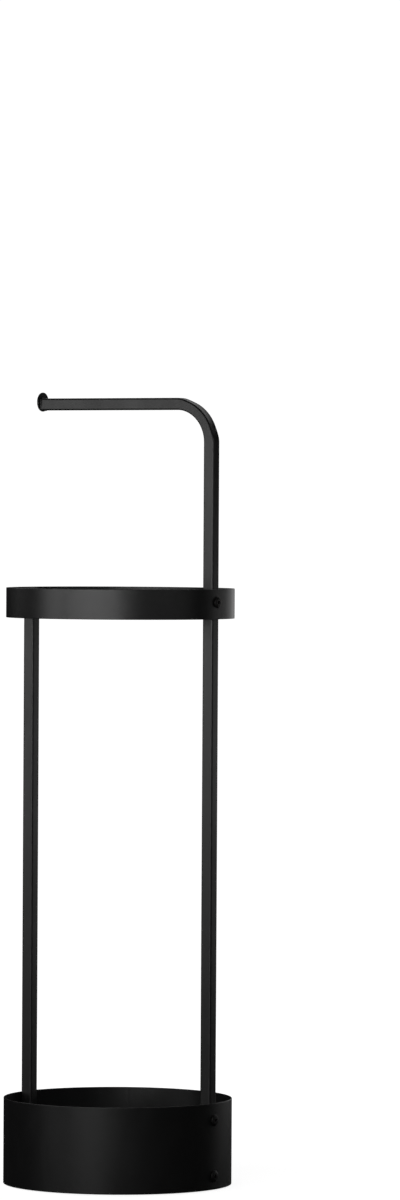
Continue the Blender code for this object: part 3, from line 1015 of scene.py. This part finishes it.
@dataclass
class DripTray:
    """The loose moulded tray: a tapered pan with a turned-down lip and ribs that keep tips dry."""

    wall: float = 0.0016
    lip: float = 0.0030
    lip_drop: float = 0.0040
    taper: float = 0.005
    blend: float = 0.004
    recess: float = 0.0006  # of the underside, inside its foot
    rib_rise: float = 0.0010
    rib_reach: float = 0.0016
    rings: tuple[float, ...] = (0.018, 0.040, 0.062)
    spokes: int = 8
    steps: int = 480

    def outline(self, rim: float, top: float) -> tuple[Outline, int]:
        """The pan's section from the middle of its floor, out and over the lip, and back underneath.

        Args:
            rim: outer radius of the lip.
            top: the tray's height.

        Returns:
            The outline, and the number of its points on the floor.
        """
        foot, neck, wall = rim - self.taper, rim - self.lip, self.wall
        corners = [
            (0.5 * foot, wall), (foot - wall, wall), (neck - wall, top), (rim, top),
            (rim, top - self.lip_drop), (rim - wall, top - self.lip_drop), (rim - wall, top - wall),
            (neck, top - wall), (foot, 0), (0.5 * foot, 0),
        ]
        radii = [0, self.blend - wall, 0.0006, 0.0009, 0.0005, 0.0005, 0.0002, 0.0006, self.blend, 0]
        shell = Outline.filleted(corners, radii, 6)
        per = len(shell.points) // len(corners)
        middle = shell.points[per:-per]
        floor_radii = np.linspace(0, middle[0, 0], 70)[:-1]
        under_radii = np.linspace(middle[-1, 0], 0, 24)[1:]
        raised = self.recess * np.clip((0.9 * foot - under_radii) / 0.002, 0, 1)
        floor = np.stack([floor_radii, 0 * floor_radii + wall], axis=1)
        points = np.concatenate([floor, middle, np.stack([under_radii, raised], axis=1)])
        edge = np.concatenate([0 * floor_radii, shell.edge[per:-per], 0 * under_radii])
        return Outline(points, edge), len(floor)

    def ribs(self, radius: Floats, angle: Floats) -> Floats:
        """The ribs' share of their rise, 1 on a crest.

        It is the larger of two bumps: over the distance to the nearest ring, and over the distance
        r |sin(spoke angle)| to the nearest spoke, between the inner and the outer ring.
        """
        to_ring = np.min([np.abs(radius - ring) for ring in self.rings], axis=0)
        step = FULL_TURN / self.spokes
        to_spoke = radius * np.sin(np.abs((angle + step / 2) % step - step / 2))
        first, last = self.rings[0], self.rings[-1]
        within = np.clip((radius - first) / 0.001, 0, 1) * np.clip((last - radius) / 0.001, 0, 1)
        return np.maximum(bump(to_ring, self.rib_reach), bump(to_spoke, self.rib_reach) * within)

    def build(self, shop: Workshop) -> None:
        """Turns the section, raises the ribs, and marks where water stands between them."""
        low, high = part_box("drip_tray")
        outline, floor = self.outline(high.x, high.z - low.z)
        angles = evenly(self.steps)
        grid = turned(outline, angles)
        ribs = self.ribs(outline.points[:floor, 0][None, :], angles[:, None])
        grid.points[:, :floor, 2] += self.rib_rise * ribs
        pool, edge = np.zeros(grid.points.shape[:2]), grid.marks[Mark.EDGE].copy()
        pool[:, :floor], edge[:, :floor] = 1 - ribs, 0.5 * ribs
        grid.marks |= {Mark.POOL: pool, Mark.EDGE: edge}
        grid = grid.moved(Matrix.Translation((0, 0, low.z)))
        shop.place("drip_tray_pan", grid, TRAY_PLASTIC, "drip_tray", TRAY)


# ---- studio


@dataclass(frozen=True)
class Softbox:
    """An upright rectangular light that faces the stand's axis."""

    name: str
    angle: float  # degrees from the camera's side, to the left as the camera sees it
    width: float
    low: float  # height of its lower edge
    high: float  # height of its upper edge
    radiance: float
    distance: float = 1.8

    @property
    def power(self) -> float:
        """The power that gives an even panel its radiance: pi times the area times the radiance."""
        return math.pi * self.width * (self.high - self.low) * self.radiance


@dataclass
class Studio:
    """A pale floor, soft lights and the camera."""

    camera_angle: float = math.radians(33.18)  # from -Y towards +X
    camera_distance: float = 5.6246
    camera_height: float = 0.5944
    pan: float = math.radians(0.708)
    tilt: float = math.radians(0.845)
    roll: float = math.radians(0.325)
    lens: float = 193.05
    sensor: float = 36.0
    floor_size: float = 60.0
    room_light: float = 0.010
    room_seen: float = 1.05
    lights: tuple[Softbox, ...] = (
        Softbox("key_softbox", 28, 1.20, 0.48, 0.68, 5.35, 1.2),
        Softbox("front_softbox", 0, 0.80, 0.45, 0.75, 2.45),
        Softbox("left_softbox", 70, 0.63, 0.22, 1.00, 2.65),
        Softbox("right_softbox", -50, 1.60, 0.70, 1.00, 1.50),
        Softbox("low_left_fill", 32, 1.00, 0.00, 0.25, 1.28),
        Softbox("low_front_fill", 22, 0.80, 0.05, 0.25, 1.25, 1.6),
        Softbox("right_side_panel", -113, 0.40, 0.25, 0.50, 0.75, 1.4),
        Softbox("right_back_panel", -150, 0.90, 0.30, 0.90, 0.82),
        Softbox("right_back_low_panel", -140, 1.60, 0.00, 0.30, 0.70),
        Softbox("left_back_panel", 120, 0.63, 0.60, 1.20, 0.90),
        Softbox("back_panel", 180, 0.80, 1.00, 2.00, 0.50),
        Softbox("back_high_softbox", -147, 1.40, 1.40, 2.20, 0.85),
        Softbox("back_left_high_softbox", 160, 1.60, 1.40, 2.20, 1.20),
    )

    def toward(self, angle: float) -> Vector:
        """The level direction from the stand at an angle left of the camera, in radians."""
        turn = self.camera_angle - angle
        return Vector((math.sin(turn), -math.cos(turn), 0))

    def build(self) -> None:
        """Makes everything that isn't the object."""
        bpy.context.scene.view_settings.view_transform = "Standard"
        self.make_camera()
        self.make_floor()
        self.make_world()
        for light in self.lights:
            self.make_light(light)

    def add(self, name: str, data: bpy.types.ID) -> bpy.types.Object:
        """A new object in the scene."""
        made = bpy.data.objects.new(name, data)
        bpy.context.scene.collection.objects.link(made)
        return made

    def make_camera(self) -> None:
        """The camera: it looks at the stand's axis, then pans right, tilts down and rolls."""
        data = bpy.data.cameras.new("studio_camera")
        data.lens, data.sensor_width, data.sensor_fit = self.lens, self.sensor, "AUTO"
        data.clip_end = 200.0
        camera = self.add("studio_camera", data)
        place = self.toward(0) * self.camera_distance + Vector((0, 0, self.camera_height))
        yaw = Matrix.Rotation(self.camera_angle - self.pan, 4, "Z")
        pitch = Matrix.Rotation(QUARTER_TURN - self.tilt, 4, "X")
        roll = Matrix.Rotation(self.roll, 4, "Z")
        camera.matrix_world = Matrix.Translation(place) @ yaw @ pitch @ roll
        bpy.context.scene.camera = camera
        LOG.info("camera at %s", tuple(round(v, 3) for v in place))

    def make_floor(self) -> None:
        """A wide pale floor that brightens to the white of the room away from the stand."""
        half = self.floor_size / 2
        corners = [(-half, -half, 0), (half, -half, 0), (half, half, 0), (-half, half, 0)]
        mesh = bpy.data.meshes.new("studio_floor")
        mesh.from_pydata(corners, [], [(0, 1, 2, 3)])
        floor = self.add("studio_floor", mesh)
        # The floor is seen and catches the shadow, and black steel doesn't mirror it.
        floor.visible_glossy = floor.visible_diffuse = False
        material = bpy.data.materials.new("pale_floor")
        material.use_nodes = True
        board = Board(material.node_tree)
        far = board.add("VectorMath", {0: board.place}, operation="LENGTH").outputs["Value"]
        board.feed(material.node_tree.nodes["Principled BSDF"], {
            "Base Color": board.blend(board.noise(3.0, 3.0), (0.55, 0.55, 0.555), (0.60, 0.60, 0.60)),
            "Roughness": 0.9, "Specular IOR Level": 0.1, "Emission Color": (1, 1, 1, 1),
            "Emission Strength": board.spread(far, 0.15, 1.2, 0.90, 1.05),
        })
        mesh.materials.append(material)

    def make_world(self) -> None:
        """A white room to the eye, which lights the stand only dimly."""
        world = bpy.data.worlds.new("studio_room")
        bpy.context.scene.world = world
        world.use_nodes = True
        board = Board(world.node_tree)
        seen = board.add("LightPath").outputs["Is Camera Ray"]
        strength = board.spread(seen, 0.0, 1.0, self.room_light, self.room_seen)
        white = (1.0, 1.0, 1.0, 1.0)
        board.feed(world.node_tree.nodes["Background"], {"Color": white, "Strength": strength})

    def make_light(self, light: Softbox) -> None:
        """One softbox, hidden from the camera."""
        data = bpy.data.lights.new(light.name, "AREA")
        data.shape, data.size, data.size_y = "RECTANGLE", light.width, light.high - light.low
        data.energy = light.power
        lamp = self.add(light.name, data)
        toward = self.toward(math.radians(light.angle))
        lamp.location = toward * light.distance + Vector((0, 0, (light.low + light.high) / 2))
        lamp.rotation_euler = (-toward).to_track_quat("-Z", "Y").to_euler()
        lamp.visible_camera = False


class UmbrellaStand:
    """The whole stand, sub-assembly by sub-assembly."""

    def build(self) -> None:
        """Builds the drum and ring, the posts and what is on them, the fasteners, the feet and the tray."""
        shop = Workshop()
        for node in ("base_shell", "guide_ring"):
            RolledBand(node).build(shop)
        FloorPlate().build(shop)
        hook_post = TubePost(Side.HOOK)
        hook_post.build(shop)
        TubePost(Side.REAR).build(shop)
        ArmEnd().build(shop, hook_post)
        for assembly in (PostPlug, Fasteners, FootPads, DripTray):
            assembly().build(shop)


def main() -> None:
    """Builds the studio and the stand around the frame."""
    logging.basicConfig(level=logging.INFO, format="%(name)s: %(message)s")
    Studio().build()
    UmbrellaStand().build()


if __name__ == "__main__":
    main()
